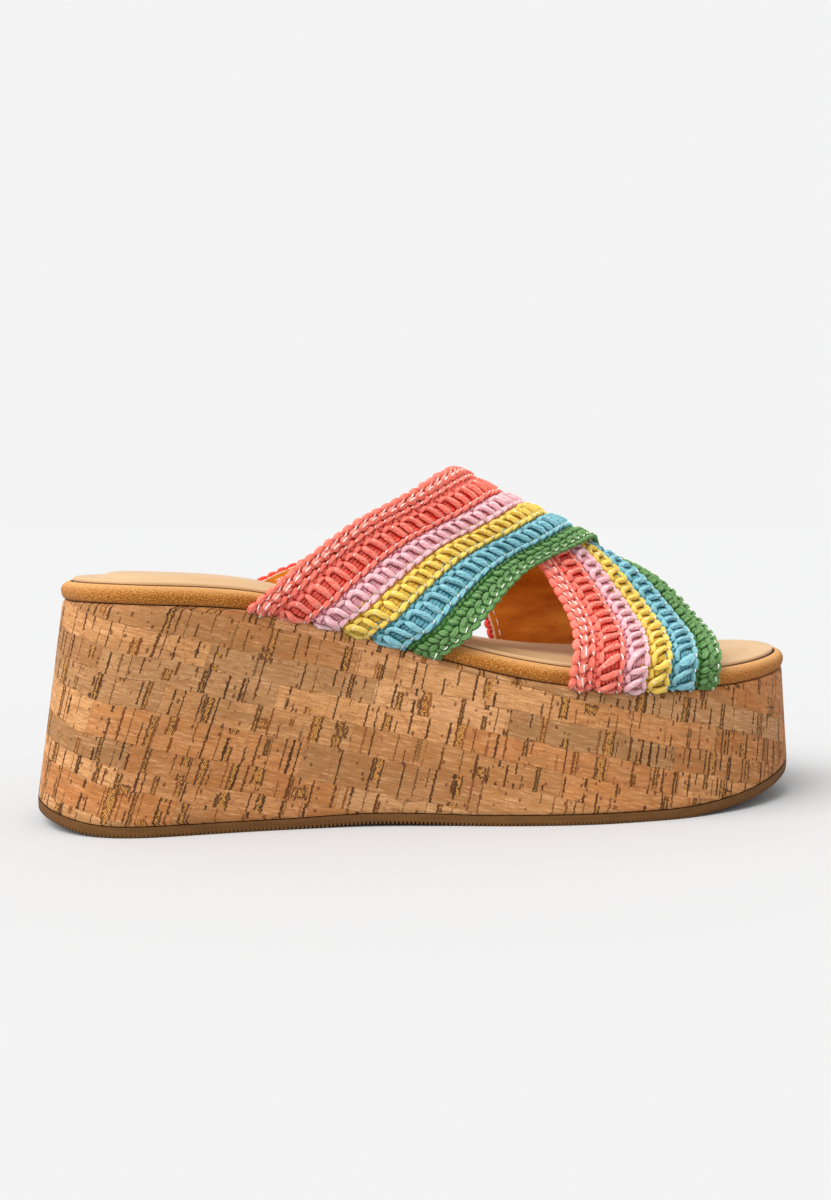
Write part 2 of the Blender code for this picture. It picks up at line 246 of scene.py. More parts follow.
def stack(name, rings, across=1, crown=None):
    """A closed piece of rings, walled in turn. Strips across it close the bottom and the top, and
    crown(points) may reshape the top's inner points. The UV map has metres round and up the wall,
    and along and across the bottom and top, which lie a metre further up."""
    size, half = len(rings[0]), len(rings[0]) // 2
    points = list(np.concatenate(rings))
    around = arc_lengths(np.vstack([rings[0], rings[0][:1]]))
    heights = arc_lengths(np.stack([r[size // 4] for r in rings]))
    faces, uvs = walls(len(rings), size, lambda k, i: (around[i], heights[k]))
    for start, is_top in ((0, False), ((len(rings) - 1) * size, True)):
        lines = []
        for i in range(half + 1):
            left, right = start + i, start + (size - i) % size
            line = [left]
            if left != right:
                inside = [mix(points[left], points[right], j / across) for j in range(1, across)]
                if is_top and crown:
                    inside = crown(np.array(inside))
                line += range(len(points), len(points) + across - 1)
                points += list(inside)
                line.append(right)
            lines.append(line if len(line) > 1 else line * (across + 1))
        for a, b in zip(lines, lines[1:]):
            for j in range(across):
                face = tuple(dict.fromkeys((a[j], b[j], b[j + 1], a[j + 1])))
                faces.append(face if is_top else face[::-1])
                uvs += [(points[v][0], points[v][1] + 1.0) for v in faces[-1]]
    return solid(name, points, faces, uvs)


def skin(name, points, faces, uvs, layer="UVMap"):
    """A mesh with a UV map in metres."""
    mesh = bpy.data.meshes.new(name)
    mesh.from_pydata([tuple(p) for p in points], [], faces)
    mesh.uv_layers.new(name=layer).data.foreach_set("uv", np.array(uvs, dtype=np.float32).ravel())
    return mesh


def solid(name, points, faces, uvs):
    """A closed piece with its faces pointing out, smooth but for its sharp edges."""
    mesh = skin(name, points, faces, uvs)
    bm = bmesh.new()
    bm.from_mesh(mesh)
    bmesh.ops.recalc_face_normals(bm, faces=bm.faces)
    bm.to_mesh(mesh)
    bm.free()
    mesh.shade_smooth()
    mesh.set_sharp_from_angle(angle=math.radians(50))
    return link(name, mesh)


class Wire:
    """A value running between a material's nodes: sums and products of wires add Math nodes."""

    def __init__(self, tree, socket):
        self.tree, self.socket = tree, socket

    def into(self, kind, *inputs, output=0, **settings):
        """The output of a new node; its inputs may be wires, numbers or colours."""
        plain = [(place, value.socket if isinstance(value, Wire) else value) for place, value in inputs]
        return Wire(self.tree, add_node(self.tree, kind, *plain, **settings).outputs[output])

    def maths(self, operation, *values):
        return self.into("ShaderNodeMath", *enumerate(values), operation=operation)

    def __add__(self, other):
        return self.maths("ADD", self, other)

    def __sub__(self, other):
        return self.maths("SUBTRACT", self, other)

    def __mul__(self, other):
        return self.maths("MULTIPLY", self, other)

    def __truediv__(self, other):
        return self.maths("DIVIDE", self, other)

    __radd__, __rmul__ = __add__, __mul__

    def size(self):
        return self.maths("ABSOLUTE", self)

    def fraction(self):
        return self.maths("FRACT", self)

    def wave(self):
        return self.maths("SINE", self)

    def most(self, other):
        return self.maths("MAXIMUM", self, other)

    def between(self, low, high):
        """0 below low, 1 above high and smooth between them; low may be the larger one."""
        return self.into("ShaderNodeMapRange", (0, self), (1, low), (2, high),
                         interpolation_type="SMOOTHSTEP")

    def plane(self, other, depth=0.0):
        """A place on a plane of this value and another, to be given to noise or cells."""
        return self.into("ShaderNodeCombineXYZ", (0, self), (1, other), (2, depth))

    def noise(self, detail=2.0, roughness=0.5):
        """Noise from 0 to 1 at this place."""
        return self.into("ShaderNodeTexNoise", ("Vector", self), ("Scale", 1.0), ("Detail", detail),
                         ("Roughness", roughness), output="Fac")

    def cells(self, randomness, dimensions="1D", distance="EUCLIDEAN"):
        """Cells along this value or over this plane: how far off the nearest centre is, and its number."""
        place = "W" if dimensions == "1D" else "Vector"
        made = add_node(self.tree, "ShaderNodeTexVoronoi", (place, self.socket), ("Scale", 1.0),
                        ("Randomness", randomness), voronoi_dimensions=dimensions, distance=distance)
        number = self.into("ShaderNodeSeparateColor", (0, made.outputs["Color"]))
        return Wire(self.tree, made.outputs["Distance"]), number

    def cell_edges(self, randomness):
        """How far off the nearest joint between cells along this value is."""
        return self.into("ShaderNodeTexVoronoi", ("W", self), ("Scale", 1.0), ("Randomness", randomness),
                         output="Distance", feature="DISTANCE_TO_EDGE", voronoi_dimensions="1D")

    def colours(self, stops, interpolation="LINEAR"):
        """A colour ramp of (place, colour) stops."""
        made, stops = add_node(self.tree, "ShaderNodeValToRGB", (0, self.socket)), list(stops)
        ramp = made.color_ramp
        ramp.interpolation = interpolation
        while len(ramp.elements) < len(stops):
            ramp.elements.new(1.0)
        for element, (place, colour) in zip(ramp.elements, stops):
            element.position = place
            element.color = (*colour, 1)
        return Wire(self.tree, made.outputs[0])

    def over(self, under, colour, kind="MIX"):
        """A colour laid over the wire of another, with this value as its strength."""
        top = colour if isinstance(colour, Wire) else (*colour, 1)
        return self.into("ShaderNodeMix", (0, self), (6, under), (7, top), output=2, data_type="RGBA",
                         blend_type=kind)


def places(tree, kind):
    """Wires of a piece's UV or Object coordinates, in millimetres."""
    found = add_node(tree, "ShaderNodeTexCoord").outputs[kind]
    split = add_node(tree, "ShaderNodeSeparateXYZ", (0, found))
    return [Wire(tree, split.outputs[k]) * 1000.0 for k in (0, 1)]


def paint(name, **sockets):
    """A new material: its Principled shader, and the wires of its UV map."""
    made = bpy.data.materials.new(name)
    made.use_nodes = True
    shader = made.node_tree.nodes["Principled BSDF"]
    for key, value in sockets.items():
        shader.inputs[key.replace("_", " ")].default_value = value
    return made, shader, *places(made.node_tree, "UV")


def finish_paint(shader, colour, height, depth, strength, rough=None):
    """Joins the wires of colour, height and roughness to the shader; height is in shares of depth."""
    tree = shader.id_data
    tree.links.new(colour.socket, shader.inputs["Base Color"])
    bump = add_node(tree, "ShaderNodeBump", ("Height", height.socket), ("Distance", depth),
                    ("Strength", strength))
    tree.links.new(bump.outputs["Normal"], shader.inputs["Normal"])
    if rough:
        tree.links.new(rough.socket, shader.inputs["Roughness"])


def make_outsole():
    """The edge is cut up from below into round teeth, four points to a tooth."""
    side_run = arc_lengths(ring(0, 0, sole_line, 400)[:401])[-1]
    steps = 4 * round(side_run / TOOTH_PITCH)
    cut = np.array(TOOTH_CUTS)[np.arange(2 * steps) % 4][:, None]
    lift = np.array([0, 0, 1.0])
    insets = (0, TREAD_INSET, CHAMFER_INSET, TOOTH_DEPTH / 5, TOOTH_DEPTH)
    flush, tread, chamfer, crests, roots = (ring(0, -inset, sole_line, steps) for inset in insets)
    rings = [tread + lift * TOOTH_HEIGHT, chamfer + lift * TOOTH_HEIGHT * cut,
             mix(crests, roots, cut) + lift * TOOTH_HEIGHT * cut,
             flush + lift * TOOTH_HEIGHT * 1.15, flush + lift * OUTSOLE]
    return stack("rubber_outsole", rings, 12)


rubber, shader, u, v = paint("brown_rubber", Specular_IOR_Level=0.20)
scuff = (u * 0.11).plane(v * 0.5).noise(3)
speck = (u * 2.4).plane(v * 2.4).noise(2)
underside = v.between(400.0, 500.0)     # the UV map has the underside a metre up
treads = (u * 1.6 + (v * 0.55).wave() * 1.6).wave().between(-0.5, 0.1) * underside
colour = (scuff * 0.7 + speck * 0.3).colours(zip((0.3, 0.7), RUBBER_COLOURS))
# the grooves between the treads on the underside darker
colour = ((underside - treads) * 0.55).over(colour, TREAD_GROOVE_DARK)
finish_paint(shader, colour, speck * 0.4 + treads * 3.0, 0.0002, 0.4, 0.60 + scuff * 0.2)
outsole = make_outsole()
outsole.data.materials.append(rubber)
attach(outsole, "root")
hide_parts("outsole")


# Platform wedge: a light core wrapped in one sheet of cork veneer, glued round the wall with
# a butt joint on the inner side. The sheet is pieced from thin strips of bark, each with its
# own tone, dark pores that cross it, and gold backing cloth showing where the bark is open.

WEDGE_FOOT, WEDGE_STEPS = OUTSOLE + GAP, 230
WEDGE_LEVELS = (0.0, 0.012, 0.03, 0.10, 0.22, 0.36, 0.5, 0.64, 0.78, 0.9, 0.965, 0.988, 1.0)
WEDGE_ROUNDS = {0.0: 0.00035, 0.988: 0.000125, 1.0: 0.0007}     # how far in it is at these levels
VENEER_TILT = math.tan(math.radians(13))    # the strips fall towards the toe on the outer side
VENEER_TURN = 0.030                         # run of heel over which the tilt comes in
VENEER_JOINT = 0.190                        # the sheet's butt joint, along the inner side
VENEER_CENTRE = 0.130                       # the wall's bearings are taken from here, along the sole
STRIP, PLANK = 8.4, 60.0                    # millimetres, height of a strip and length of a piece
PORE_PITCH, OPENING_PITCH = 3.4, 9.0        # millimetres along a strip
WINDOW_RUN, WINDOW_RISE = 27.0, 23.0        # millimetres between the larger windows
CORK_TONES = (
    (0.00, (0.425, 0.156, 0.043)), (0.15, (0.269, 0.136, 0.052)), (0.23, (0.269, 0.138, 0.053)),
    (0.36, (0.605, 0.326, 0.149)), (0.52, (0.397, 0.142, 0.038)), (0.66, (0.345, 0.156, 0.053)),
    (0.82, (0.586, 0.301, 0.123)), (1.00, (0.425, 0.156, 0.043)),
)
CLOUD_PALE, SMOKE_GREY = (0.586, 0.307, 0.140), (0.241, 0.127, 0.047)
GRAIN_DARK, GRAIN_PALE = (0.240, 0.083, 0.018), (0.718, 0.425, 0.217)
CRUMB_DARK, GROWTH_RED = (0.250, 0.088, 0.020), (0.250, 0.090, 0.030)
PORE_DARK, PORE_BROWN, PORE_RUST = (0.034, 0.014, 0.005), (0.064, 0.024, 0.008), (0.185, 0.050, 0.011)
CLOTH_GOLD, CLOTH_DULL, CLOTH_HOLE = (0.640, 0.310, 0.085), (0.470, 0.200, 0.040), (0.085, 0.026, 0.007)
JOINT_BROWN, FLECK_BROWN = (0.130, 0.052, 0.018), (0.105, 0.036, 0.014)


def make_wedge():
    rings = []
    for share in WEDGE_LEVELS:
        level = lambda along: mix(sole_line(along) + WEDGE_FOOT, cork_line(along), share)
        rings.append(ring(share, -WEDGE_ROUNDS.get(share, 0.0), level, WEDGE_STEPS))
    return stack("cork_wedge", rings)


def lay_veneer(piece):
    """The veneer's own directions as a UV map: metres along the strips and across them."""
    mesh = piece.data
    steps = 600
    edge = outline(0.5, 0, steps)
    runs = arc_lengths(np.vstack([edge, edge[:1]]))
    total, runs = runs[-1], runs[:-1]
    joint = runs[steps + np.argmin(abs(edge[steps:, 0] - VENEER_JOINT))]
    bearings = np.unwrap(np.arctan2(edge[:, 1] - CENTRE_Y, edge[:, 0] - VENEER_CENTRE))
    order = np.argsort(bearings)
    low = bearings.min()
    points = np.array([v.co for v in mesh.vertices])
    around = np.arctan2(points[:, 1], points[:, 0] + CENTRE_X - VENEER_CENTRE)
    point_runs = np.interp((around - low) % (2 * math.pi) + low, bearings[order], runs[order])
    layer = mesh.uv_layers["UVMap"].data
    for face in mesh.polygons:
        along = point_runs[list(face.vertices)]
        if along.max() - along.min() > total / 2:
            along = np.where(along < total / 2, along + total, along)
        if along.mean() > joint:
            along = along - total
        tilt = VENEER_TILT * smooth(along / VENEER_TURN + 0.5)
        fall = VENEER_TILT * VENEER_TURN * np.logaddexp(0, along / VENEER_TURN * 3) / 3
        height = points[list(face.vertices), 2]
        for loop, uv in zip(face.loop_indices, np.stack([along - tilt * height, height + fall], 1)):
            layer[loop].uv = uv


cork, shader, u, v = paint("cork_veneer", Specular_IOR_Level=0.15)
# strips of bark laid one above another, each of several pieces end to end
drift = (u * 0.055).plane(v * 0.06).noise(2) - 0.5
ragged = (u * 0.75).plane(v * 0.25).noise(2) - 0.5
strip_line = (v + drift * 3.4 + ragged * 1.0) / STRIP
strip = strip_line.cells(0.62)[1]
plank_line = (u + ragged * 1.2) / PLANK + strip * 37.0
plank = plank_line.cells(0.9)[1]
joint = (strip_line.cell_edges(0.62) * STRIP).between(0.22, 0.04)
joint = joint * (u * 0.14).plane(v * 0.1).noise(2).between(0.44, 0.60)
joint = joint.most((plank_line.cell_edges(0.9) * PLANK).between(0.20, 0.05) * 0.6)
# broad clouds, flat grain, crumbs and reddish growth lines
cloud = (u * 0.10).plane(v * 0.22, plank * 9.0).noise(3, 0.6)
smoke = (u * 0.05).plane(v * 0.30, strip * 7.0).noise(3, 0.6)
grain = (u * 0.17).plane(v * 1.5, plank * 9.0).noise(4, 0.65)
crumb = (u * 1.3).plane(v * 1.3).noise(3, 0.7)
growth = (u * 0.09).plane(v * 0.16, strip * 5.0).noise(2) * 8.0 + v * 0.30 + (u * 1.5).wave() * 0.05
growth = (growth.fraction() - 0.5).size().between(0.11, 0.02)
growth = growth * (u * 0.06).plane(v * 0.2).noise(1).between(0.40, 0.54)
# pores: dark lines across a strip, in groups
jag = (u * 0.5).plane(v * 1.1).noise(3, 0.6) - 0.5
pore_off, pore = ((u + jag * 1.5) / PORE_PITCH + strip * 53.0).cells(1.0)
pore_thick = (0.10 + (pore * 7.3).fraction() * 0.32) * (0.30 + (v * 0.9).plane(pore * 40.0).noise(2) * 1.4)
pore_group = (u * 0.050).plane(strip * 30.0).noise(1)
pore_here = (pore_group - pore * 0.44).between(0.22, 0.28)
pore_run = (v * 0.17).plane(pore * 60.0, strip * 8.0).noise(1).between(0.38, 0.44)
pores = (pore_thick - pore_off * PORE_PITCH).between(-0.06, 0.06) * pore_here * pore_run
# open bark: gold cloth between two dark edges
open_off, opening = ((u + jag * 1.3) / OPENING_PITCH + strip * 91.0).cells(1.0)
open_odd = (opening * 11.7).fraction()
open_half = (0.42 + open_odd * open_odd * 1.1) * (0.50 + (v * 0.5).plane(opening * 30.0).noise(2) * 1.0)
open_in = open_half - open_off * OPENING_PITCH
open_here = (opening - (u * 0.03).plane(strip * 12.0).noise(1) * 0.55).between(0.16, 0.20)
open_here = open_here * (v * 0.17).plane(opening * 70.0, strip * 4.0).noise(1).between(0.40, 0.44)
broken = (v * 1.1).plane(u * 0.6).noise(2).between(0.30, 0.42)
# a few larger ragged windows of the same cloth
window_off, window = (u / WINDOW_RUN).plane(v / WINDOW_RISE).cells(0.9, "2D", "CHEBYCHEV")
rough_edge = (u * 0.9).plane(v * 0.28).noise(3, 0.7) - 0.5
window_in = 0.055 + rough_edge * 0.22 - window_off
window_here = (window - 0.58).between(0.0, 0.02)
cloth = (open_in.between(-0.05, 0.08) * open_here).most(window_in.between(-0.006, 0.006) * window_here)
rim = open_in.size().between(0.44, 0.22) * open_here * broken
rim = rim.most(window_in.size().between(0.020, 0.008) * window_here)
mesh_hole = ((u * 7.2).wave() * (v * 7.8).wave()).between(0.05, 0.40)
clot = (u * 1.5).plane(v * 0.9).noise(2, 0.6).between(0.52, 0.60)
gold = mesh_hole.over(crumb.colours(((0.35, CLOTH_DULL), (0.65, CLOTH_GOLD))), CLOTH_HOLE)
gold = (clot * 0.85).over(gold, CLOTH_HOLE)
# flecks and scars
fleck_off, fleck = (u * 0.42).plane(v * 0.26).cells(1.0, "2D")
fleck_size = (fleck * 5.3).fraction() * 0.22 + jag * 0.20
flecks = (fleck_size - fleck_off).between(-0.02, 0.05) * (fleck + drift * 1.2).between(0.62, 0.66)
dark = (pore * 3.1).fraction().colours(((0.0, PORE_DARK), (0.6, PORE_BROWN), (1.0, PORE_RUST)))
colour = (plank * 3.7 + strip * 5.1).fraction().colours(CORK_TONES)
for mark, strength, mark_colour in (
    (cloud.between(0.35, 0.75), 0.32, CLOUD_PALE), (smoke.between(0.50, 0.68), 0.46, SMOKE_GREY),
    (grain.between(0.60, 0.34), 0.46, GRAIN_DARK), (grain.between(0.54, 0.72), 0.44, GRAIN_PALE),
    (crumb.between(0.58, 0.30), 0.34, CRUMB_DARK), (growth, 0.60, GROWTH_RED), (joint, 0.60, JOINT_BROWN),
    (cloth, 1.0, gold), (pores.most(rim * 0.9), 0.94, dark), (flecks, 0.80, FLECK_BROWN),
):
    colour = (mark * strength).over(colour, mark_colour)
height = 0.6 + grain * 0.25 + crumb * 0.15 - pores * 0.6 - rim * 0.35 - cloth * 0.25 - flecks * 0.4
height = height - joint * 0.3 - mesh_hole * cloth * 0.2
finish_paint(shader, colour, height, 0.0004, 0.6, 0.58 + grain * 0.18 + pores * 0.2)
wedge = make_wedge()
lay_veneer(wedge)
wedge.data.materials.append(cork)
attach(wedge, "root")
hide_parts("wedge")


# Footbed: a board wrapped in tan suede. Its padded edge rolls out over the cork and up to
# the seam with the insole lining, and is nipped in where the bands pass down beside it.

BOARD, RIM_OVERHANG, RIM_SEAM = 0.0050, 0.0004, 0.0028
RIM_PROFILE = (             # out from the cork's top edge, up from it
    (-0.0120, GAP), (-0.0040, GAP), (-0.0008, GAP), (-0.0001, 0.0007), (0.0002, 0.0014),
    (0.0005, 0.0024), (0.0005, 0.0034), (0.0001, 0.0044), (-0.0006, 0.0052), (-0.0015, 0.0057),
    (-0.0023, 0.0059), (-0.95 * RIM_SEAM, 0.0057), (-RIM_SEAM - GAP, BOARD),
)
RIM_STEPS = 200
FLANGE, SPRING, TUCK_IN = 0.0012, 0.0090, 0.0013    # a band's foot and spring above the cork, its lean in
BAND_EDGES = (              # turn, along at the rear edge, along at the front edge
    (-100, 0.0650, 0.1255), (-90, 0.0730, 0.1335), (-60, 0.1037, 0.1565), (-30, 0.1250, 0.1785),
    (0, 0.1392, 0.1920), (30, 0.1480, 0.2040), (60, 0.1580, 0.2110), (90, 0.1630, 0.2150),
    (100, 0.1645, 0.2165),
)
NIP_MARGIN, NIP_EASE = 0.0015, 0.006    # beside a band the rim stays nipped, then fills out again
SUEDE_COLOURS = ((0.165, 0.041, 0.002), (0.375, 0.126, 0.014), (0.680, 0.310, 0.070))
SUEDE_PAINTED_HIGHLIGHT, SEAM_SHADE = (0.820, 0.450, 0.170), (0.130, 0.045, 0.010)
HIGHLIGHT_FROM, HIGHLIGHT_TO, SEAM_UP = 14.2, 18.6, 19.1      # millimetres up the profile where the painted highlight begins and is full, and to its top seam


def tuck(height):
    """How far the bands lean in under the rim's roll, at a height above the cork."""
    t = (SPRING - height) / (SPRING - GAP - FLANGE)
    return TUCK_IN * np.maximum(t, 0.0) ** 2


def nip(along):
    """1 where a band passes down beside the rim, 0 where the rim is free."""
    amount = np.zeros_like(along)
    for _, rear, front in (BAND_EDGES[0], BAND_EDGES[-1]):
        reach = np.maximum(rear - NIP_MARGIN - along, along - front - NIP_MARGIN)
        amount = np.maximum(amount, 1 - smooth(reach / NIP_EASE))
    return amount


def top_ring(grow, height):
    """The outline of the cork's top, grown outwards and lifted off it."""
    return ring(1, grow, lambda along: cork_line(along) + height, RIM_STEPS)


def make_footbed():
    rings = []
    for grow, height in RIM_PROFILE:
        free = top_ring(grow, height)
        inset = min(grow, RIM_OVERHANG - float(tuck(height))) if height < BOARD else grow
        rings.append(mix(free, top_ring(inset, height), nip(free[:, 0] + CENTRE_X)[:, None]))
    return stack("suede_footbed", rings, 4)


suede, shader, u, v = paint("tan_suede", Roughness=0.92, Specular_IOR_Level=0.12, Sheen_Weight=0.08)
nap = (u * 2.3).plane(v * 2.6).noise(3, 0.75)
swirl = (u * 0.25).plane(v * 0.5).noise(3)
stroke = (u * 1.5 + swirl * 5.0).plane(v * 2.8 + swirl * 2.0).noise(2, 0.7)
fibre = nap * 0.5 + stroke * 0.5
colour = fibre.colours(zip((0.40, 0.50, 0.60), SUEDE_COLOURS))
# painted highlight: the upper part of the rolled edge is paler, standing in for the light it catches from
# above
colour = (v.between(HIGHLIGHT_FROM, HIGHLIGHT_TO) * 0.58).over(colour, SUEDE_PAINTED_HIGHLIGHT)
colour = v.between(SEAM_UP - 0.25, SEAM_UP + 0.1).over(colour, SEAM_SHADE)
finish_paint(shader, colour, fibre, 0.0008, 0.9)
footbed = make_footbed()
footbed.data.materials.append(suede)
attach(footbed, "root")
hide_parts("footbed")


# Insole: a pad of soft foam under smooth tan lining leather. A flat edge is stuck down along
# the suede seam, and the foam raises the middle as one long cushion.

INSOLE_INSET, INSOLE_EDGE = 0.0033, 0.0072
INSOLE_PROFILE = (          # further in from the cork's edge, up from it
    (0.0, BOARD + GAP), (0.0, 0.0066), (0.0002, 0.0070), (0.0006, INSOLE_EDGE), (0.0035, 0.00723),
)
CUSHION_INSET, CUSHION_SLOPE, CUSHION_TOP = 0.0105, 0.0055, 0.0088
CUSHION_SHARES = (0.0, 0.12, 0.25, 0.4, 0.55, 0.7, 0.85, 1.0)
LINING_COLOURS = ((0.475, 0.293, 0.136), (0.521, 0.337, 0.169))
GRAIN_PIT, EDGE_PAINTED_SHADE = (0.560, 0.290, 0.110), (0.450, 0.200, 0.060)


def crown(points):
    """The cushion's top, level across and following the cork along."""
    points[:, 2] = cork_line(points[:, 0] + CENTRE_X) + CUSHION_TOP
    return points


def make_insole():
    rings = [top_ring(-INSOLE_INSET - inset, height) for inset, height in INSOLE_PROFILE]
    for t in CUSHION_SHARES:
        height = mix(INSOLE_EDGE, CUSHION_TOP, float(smooth(t)))
        rings.append(top_ring(-CUSHION_INSET - CUSHION_SLOPE * t, height))
    return stack("insole_pad", rings, 10, crown)


lining, shader, u, v = paint("insole_lining", Specular_IOR_Level=0.30, Sheen_Weight=0.08)
x, y = places(shader.id_data, "Object")
cloud = (x * 0.035).plane(y * 0.05).noise(3)
leather = (x * 1.6).plane(y * 1.6).noise(4, 0.6)
pit_off = (x * 1.5).plane(y * 1.5).cells(1.0, "2D")[0]
colour = (cloud * 0.8 + leather * 0.2).colours(zip((0.35, 0.65), LINING_COLOURS))
colour = (pit_off.between(0.22, 0.05) * 0.18).over(colour, GRAIN_PIT)
# painted shade: the insole's edge darkened towards its foot, down at the seam with the suede
colour = (v.between(2.1, 1.2) * 0.30).over(colour, EDGE_PAINTED_SHADE)
colour = v.between(1.00, 0.80).over(colour, SEAM_SHADE)
height = leather * 0.6 + pit_off.between(0.0, 0.3) * 0.5
finish_paint(shader, colour, height, 0.0001, 0.35, 0.50 + leather * 0.16)
insole = make_insole()
insole.data.materials.append(lining)
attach(insole, "root")
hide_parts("insole")


# Band linings: each band is backed with tan leather, trimmed just inside the crochet. The
# bands arch over the foot, cross on top, and their ends go down between rim and cork.

BAND_END = 100.0            # turn -90 to 90 goes over the foot, and from there straight down
ARCH_POWER, OUTER_FALL, FALL_POWER, RIDGE_SHIFT = 2.1, 1.80, 1.5, 0.010     # higher on its inner side
RIDGE = (                   # along, height of the foot's top line
    (0.050, 0.1290), (0.080, 0.1240), (0.100, 0.1190), (0.120, 0.1120), (0.140, 0.1040),
    (0.160, 0.0965), (0.180, 0.0890), (0.200, 0.0805), (0.220, 0.0730), (0.240, 0.0690),
)
BAND_WIDTH = 0.0523
LOWER_BAND_SHIFT = 0.006    # it lies this much further forward than the top band does
BAND_LIFT, REAR_LIFT = 0.0036, 0.0040       # the top band's height off the foot, and more at its rear
LIFT_SHOULDER = 26.0        # degrees of turn over which the two come in
LINING, LINING_TRIM = 0.0009, 0.0017
SHEET_TURNS, SHEET_ROWS = 161, 26
LEATHER_COLOURS = ((0.450, 0.095, 0.003), (0.630, 0.168, 0.006), (0.780, 0.285, 0.026))
CUT_EDGE, CUT_EDGE_WIDTH = (0.760, 0.520, 0.300), 0.55      # millimetres
BANDS = {"top_band": (1, 0.0, True), "lower_band": (-1, LOWER_BAND_SHIFT, False)}   # hand, shift, on top


def foot_point(along, turn):
    """Inner face of a band on the foot: a narrowing arch on top of a straight drop."""
    side = np.where(turn < 0, OUTER, INNER)
    width = half_width(along, side, 1, RIM_OVERHANG + GAP)
    spring = cork_line(along) + SPRING
    height = mix(SPRING, GAP + FLANGE, (abs(turn) - 90) / (BAND_END - 90))
    angle = np.radians(np.clip(turn, -90, 90))
    across = abs(np.sin(angle)) ** (2 / ARCH_POWER)
    up = np.maximum(np.cos(angle), 0.0) ** (2 / ARCH_POWER)
    across = np.where(side == OUTER, across * (1 - OUTER_FALL * up ** FALL_POWER * (1 - up)), across)
    arch_y = middle(along) + RIDGE_SHIFT * up * up + side * width * across
    arch_z = mix(spring, spline(RIDGE, 1, along), up)
    drop_y = middle(along) + side * (width - tuck(height))
    drop_z = cork_line(along) + height
    is_drop = abs(turn) > 90
    return np.stack([along, np.where(is_drop, drop_y, arch_y), np.where(is_drop, drop_z, arch_z)], -1)


def unit(vectors):
    return vectors / np.linalg.norm(vectors, axis=-1, keepdims=True)


def outward(along, turn):
    """Unit normal of the foot's surface."""
    step, reach = 0.5, 0.001
    turn = np.clip(turn, -89.0, 89.0)
    around = foot_point(along, turn + step) - foot_point(along, turn - step)
    forward = foot_point(along + reach, turn) - foot_point(along - reach, turn)
    return unit(np.cross(forward, around))


def band_surface(band, turn, share, off):
    """Points of a band at a turn, a share of its width from the rear edge, and a height off the foot."""
    hand, shift, is_top = BANDS[band]
    rear, front = spline(BAND_EDGES, 1, turn * hand), spline(BAND_EDGES, 2, turn * hand)
    along = mix(rear, front, share) + shift * smooth((BAND_END - abs(turn)) / LIFT_SHOULDER)
    if is_top:
        shoulder = smooth((90 - abs(turn)) / LIFT_SHOULDER)
        off = off + shoulder * (BAND_LIFT + REAR_LIFT * (1 - np.clip(share, 0, 1)) ** 2)
    points = foot_point(along, turn) + outward(along, turn) * np.asarray(off)[..., None]
    return points - (CENTRE_X, CENTRE_Y, 0)


def band_runs(band, turns, shares):
    """Metres along each row of a band, counted from a line that crosses all rows squarely."""
    grid = band_surface(band, *np.meshgrid(turns, shares), 0.0)
    runs = np.stack([arc_lengths(row) for row in grid])
    start = np.zeros(len(shares))
    for way in (1, -1):
        turn, row = 0.0, len(shares) // 2
        while 0 <= row + way < len(shares):
            here, there = shares[row], shares[row + way]
            ask = np.array([turn - 0.5, turn + 0.5, turn, turn])
            p = band_surface(band, ask, np.array([here, here, here, there]), 0.0)
            around, across = p[1] - p[0], p[3] - p[2]
            turn -= float(across @ around / (around @ around))
            row += way
            start[row] = turn
    zero = [np.interp(t, turns, run) for t, run in zip(start, runs)]
    return runs - np.array(zero)[:, None]


def sheet_solid(name, band, trim, end, low, high):
    """A sheet of a band, cut trim inside its edges, from turn -end to end and between two heights off
    the foot. The UV map is its run and width in metres."""
    shares = np.linspace(trim / BAND_WIDTH, 1 - trim / BAND_WIDTH, SHEET_ROWS)
    turns = np.linspace(-end, end, SHEET_TURNS)
    grids = [band_surface(band, *np.meshgrid(turns, shares), off) for off in (low, high)]
    runs = band_runs(band, turns, shares)
    points = np.concatenate([grid.reshape(-1, 3) for grid in grids])

    def place(i, j):
        return -runs[i, j], shares[i] * BAND_WIDTH

    def add(*corners):
        faces.append(tuple((sheet * SHEET_ROWS + i) * SHEET_TURNS + j for sheet, i, j in corners))
        uvs.extend(place(i, j) for _, i, j in corners)

    faces, uvs = walls(SHEET_ROWS, SHEET_TURNS, place, closed=False)
    faces += [tuple(v + len(points) // 2 for v in face) for face in faces]
    uvs += uvs
    for i in range(SHEET_ROWS - 1):
        for j in (0, SHEET_TURNS - 1):
            add((0, i, j), (1, i, j), (1, i + 1, j), (0, i + 1, j))
    for j in range(SHEET_TURNS - 1):
        for i in (0, SHEET_ROWS - 1):
            add((0, i, j), (1, i, j), (1, i, j + 1), (0, i, j + 1))
    return solid(name, points, faces, uvs)


leather, shader, u, v = paint("strap_lining", Specular_IOR_Level=0.20)
crease = (u * 0.16).plane(v * 0.05).noise(3, 0.55)
fold = ((u * 0.22).plane(v * 0.09).noise(2) * 5.0).fraction()
fold_line = (fold - 0.5).size().between(0.10, 0.0)
grain = (u * 1.7).plane(v * 1.7).noise(4, 0.62)
colour = (crease * 0.7 + grain * 0.3).colours(zip((0.36, 0.52, 0.70), LEATHER_COLOURS))
to_edge = (BAND_WIDTH / 2 - LINING_TRIM) * 1000
border = (v - BAND_WIDTH * 500).size().between(to_edge - CUT_EDGE_WIDTH, to_edge - 0.05)
colour = (border * 0.7).over(colour, CUT_EDGE)
height = crease * 1.2 + grain * 0.25 - fold_line * 0.25
finish_paint(shader, colour, height, 0.0006, 0.5, 0.50 + grain * 0.2)
for band in BANDS:
    piece = sheet_solid(band + "_lining", band, LINING_TRIM, BAND_END, 0.0, LINING)
    piece.data.materials.append(leather)
    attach(piece, "root")
    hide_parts("upper")


# Crochet ground: the close base loops that carry the raised stitches, knitted in the same
# five colours and bound at both edges with cream tape where it is sewn to the lining.

